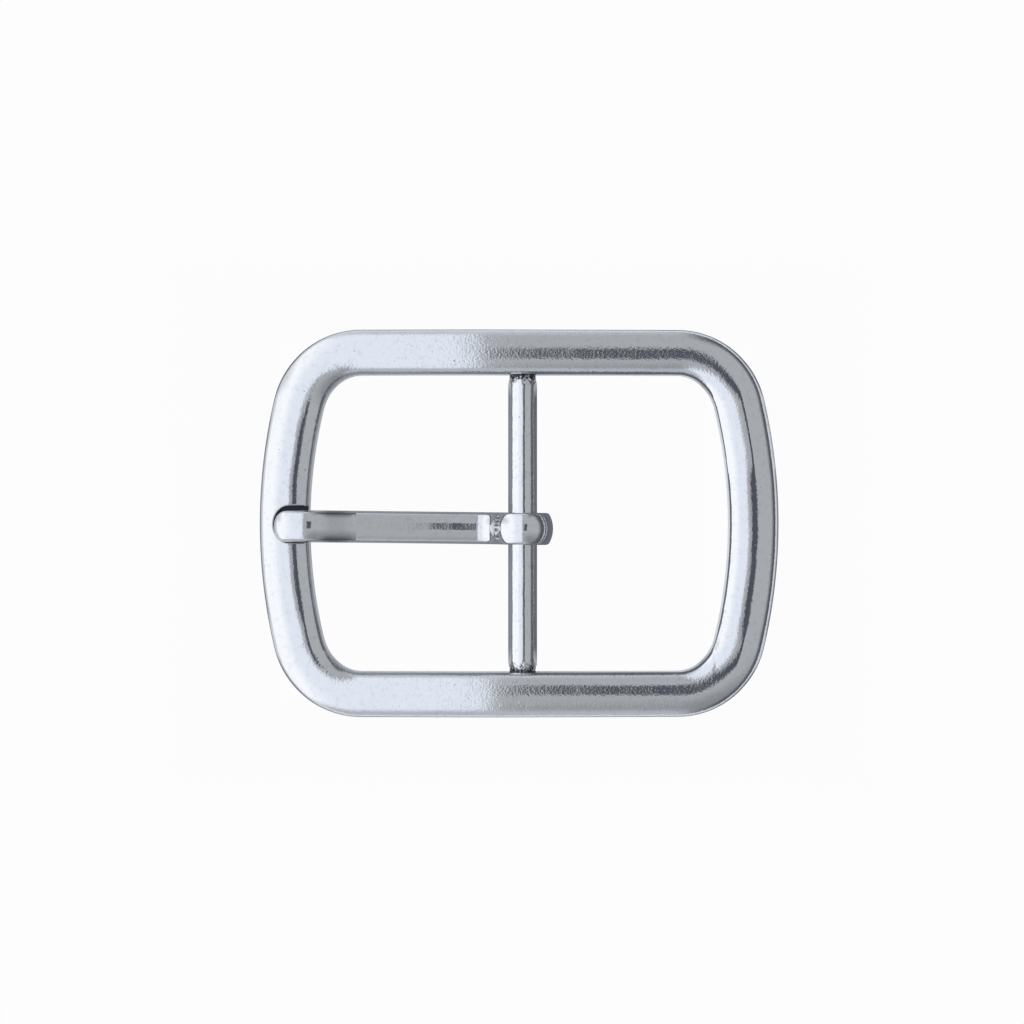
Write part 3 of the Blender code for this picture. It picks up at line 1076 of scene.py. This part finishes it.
# Painted light beside the inner walls, a painted shadow under the rim, a light board further out.
# How far out each grey starts and is full, where 1 is the frame's own outline.
for start, full, tone in ((0.66, 0.74, wall_painted_light), (0.92, 0.97, rim_painted_shadow), (1.06, 1.50, outer_tone)):
    ring = add(tree, "ShaderNodeMapRange", {"Value": outermost.outputs[0]}, From_Min=start, From_Max=full)
    layers.append((ring.outputs["Result"], tone))
board = paint_layers(tree, left_tone, layers)
print("light table:", 2.0 * table_half, "m wide,", len(layers), "greys over", left_tone)

# %% [markdown]
# The board's light has two parts. A weak glow in its own greys lights the metal from below. For
# rays that come straight from the camera, a nearly white glow takes over, and the little that is
# left of the board's own shading sets the buckle down on it with a soft contact shadow.

# %% The board's light
glow_share = 0.985

# The painted shade and light of the greys go into the board's colour and into its weak glow.
tree.links.new(board, shader.inputs["Base Color"])
tree.links.new(board, shader.inputs["Emission Color"])
shader.inputs["Emission Strength"].default_value = 0.35
shader.inputs["Roughness"].default_value = 0.9
glow = add(tree, "ShaderNodeEmission", Color=colour("#FDFDFD"), Strength=1.0)
seen = add(tree, "ShaderNodeLightPath").outputs["Is Camera Ray"]
glowing = add(tree, "ShaderNodeMath", {0: seen}, operation="MULTIPLY")
glowing.inputs[1].default_value = glow_share
surface = add(tree, "ShaderNodeMixShader", {0: glowing.outputs[0], 1: shader.outputs[0], 2: glow.outputs[0]})
tree.links.new(surface.outputs[0], tree.nodes["Material Output"].inputs["Surface"])
floor.data.materials.append(floor_finish)
print("glow for the camera:", glow_share)

# %% [markdown]
# ## Studio
# Bright metal shows its surroundings and nothing else, so the studio is most of its look. On the
# left stands one very large white sheet, which reaches from the table to right overhead. A pale
# gap runs along its edge. The room on the right is unlit and grey, and darkest near its floor. A
# dark camera arm hangs just right of overhead. The world shader draws these as cards, each a range
# of directions with soft edges: a direction is X, Y and Z from -1 to 1, and Z is up.

# %% Studio cards
beyond = 9.0
any_height = (-beyond, beyond)
room_grey = "#A6AAAF"
cards = [
    ("low right wall", (0.10, beyond), (-beyond, -0.40), any_height, 0.28, "#84878C"),
    ("upper right corner", (0.30, beyond), (0.72, beyond), any_height, 0.10, "#787C7E"),
    ("dark right skirting", (0.40, beyond), any_height, (-beyond, 0.36), 0.15, "#55575D"),
    ("white sheet, near", (-beyond, -0.03), any_height, any_height, 0.035, "#DFE6F2"),
    ("white sheet, far", (-beyond, -0.50), any_height, any_height, 0.20, "#F6F9FE"),
    ("gap under the sheet", (-0.75, 0.20), (-beyond, -0.82), any_height, 0.10, "#AEB2BA"),
    ("gap over the sheet", (-0.45, 0.10), (0.90, beyond), any_height, 0.08, "#BDC1CA"),
    ("window in the left wall", (-beyond, -0.84), (0.30, 0.85), any_height, 0.16, "#C2C4CA"),
    ("gap beside the sheet", (0.0, 0.11), (-0.60, 0.75), any_height, 0.02, "#A3A5A9"),
    ("camera arm", (0.095, 0.285), (-0.15, 0.31), (0.5, beyond), 0.015, "#4C4F58"),
]


def card_mask(tree, axes, ranges, softness):
    """1 where the direction is inside the card's ranges along X, Y and Z, easing to 0 outside."""
    mask = None
    for axis, (low, high) in zip("XYZ", ranges):
        for edge, inside in ((low, 1.0), (high, -1.0)):
            if abs(edge) >= beyond:
                continue
            side = add(tree, "ShaderNodeMapRange", {"Value": axes.outputs[axis]},
                       interpolation_type="SMOOTHSTEP",
                       From_Min=edge - inside * softness,
                       From_Max=edge + inside * softness).outputs["Result"]
            if mask is not None:
                side = add(tree, "ShaderNodeMath", {0: mask, 1: side}, operation="MULTIPLY").outputs[0]
            mask = side
    return mask


world = bpy.data.worlds.new("studio")
bpy.context.scene.world = world
world.use_nodes = True
tree = world.node_tree
tree.nodes.clear()
direction = add(tree, "ShaderNodeTexCoord").outputs["Generated"]
axes = add(tree, "ShaderNodeSeparateXYZ", {"Vector": direction})
layers = []
for card, x_range, y_range, z_range, softness, hex_code in cards:
    layers.append((card_mask(tree, axes, (x_range, y_range, z_range), softness), hex_code))
    print("card:", card, hex_code)
room = paint_layers(tree, room_grey, layers)

# %% [markdown]
# The cards' colours are what the plate should show. Since it reflects only part of the light, the
# studio is made that much brighter. The camera itself sees a plain pale backdrop instead.

# %% Light the world with the cards
plate_reflects = sum(colour(plate_base)[:3]) / 3.0
studio = add(tree, "ShaderNodeBackground", {"Color": room}, Strength=1.0 / plate_reflects)
backdrop = add(tree, "ShaderNodeBackground", Color=colour("#FDFDFD"), Strength=1.0)
seen = add(tree, "ShaderNodeLightPath").outputs["Is Camera Ray"]
both = add(tree, "ShaderNodeMixShader", {0: seen, 1: studio.outputs[0], 2: backdrop.outputs[0]})
add(tree, "ShaderNodeOutputWorld", {"Surface": both.outputs[0]})
print("the plate reflects", round(plate_reflects, 2), "of the light")

# %% [markdown]
# ## Camera
# The camera hangs straight over the buckle and looks down at it, about 390 mm away, so the rails'
# inner walls show a little at both ends. Its lens follows from that distance and from how wide a
# strip of the table it takes in.

# %% Camera
view_width = 0.1242
view_middle = (-0.00089, 0.00138)
camera_height = 0.390
sight_height = 0.0036
sensor_mm = 36.0

camera_data = bpy.data.cameras.new("camera")
camera_data.sensor_width = sensor_mm
camera_data.lens = sensor_mm * camera_height / view_width
camera = bpy.data.objects.new("camera", camera_data)
bpy.context.scene.collection.objects.link(camera)
camera.location = (*view_middle, sight_height + camera_height)
bpy.context.scene.camera = camera
bpy.context.scene.view_settings.view_transform = "Standard"
print("lens:", round(camera_data.lens, 1), "mm")
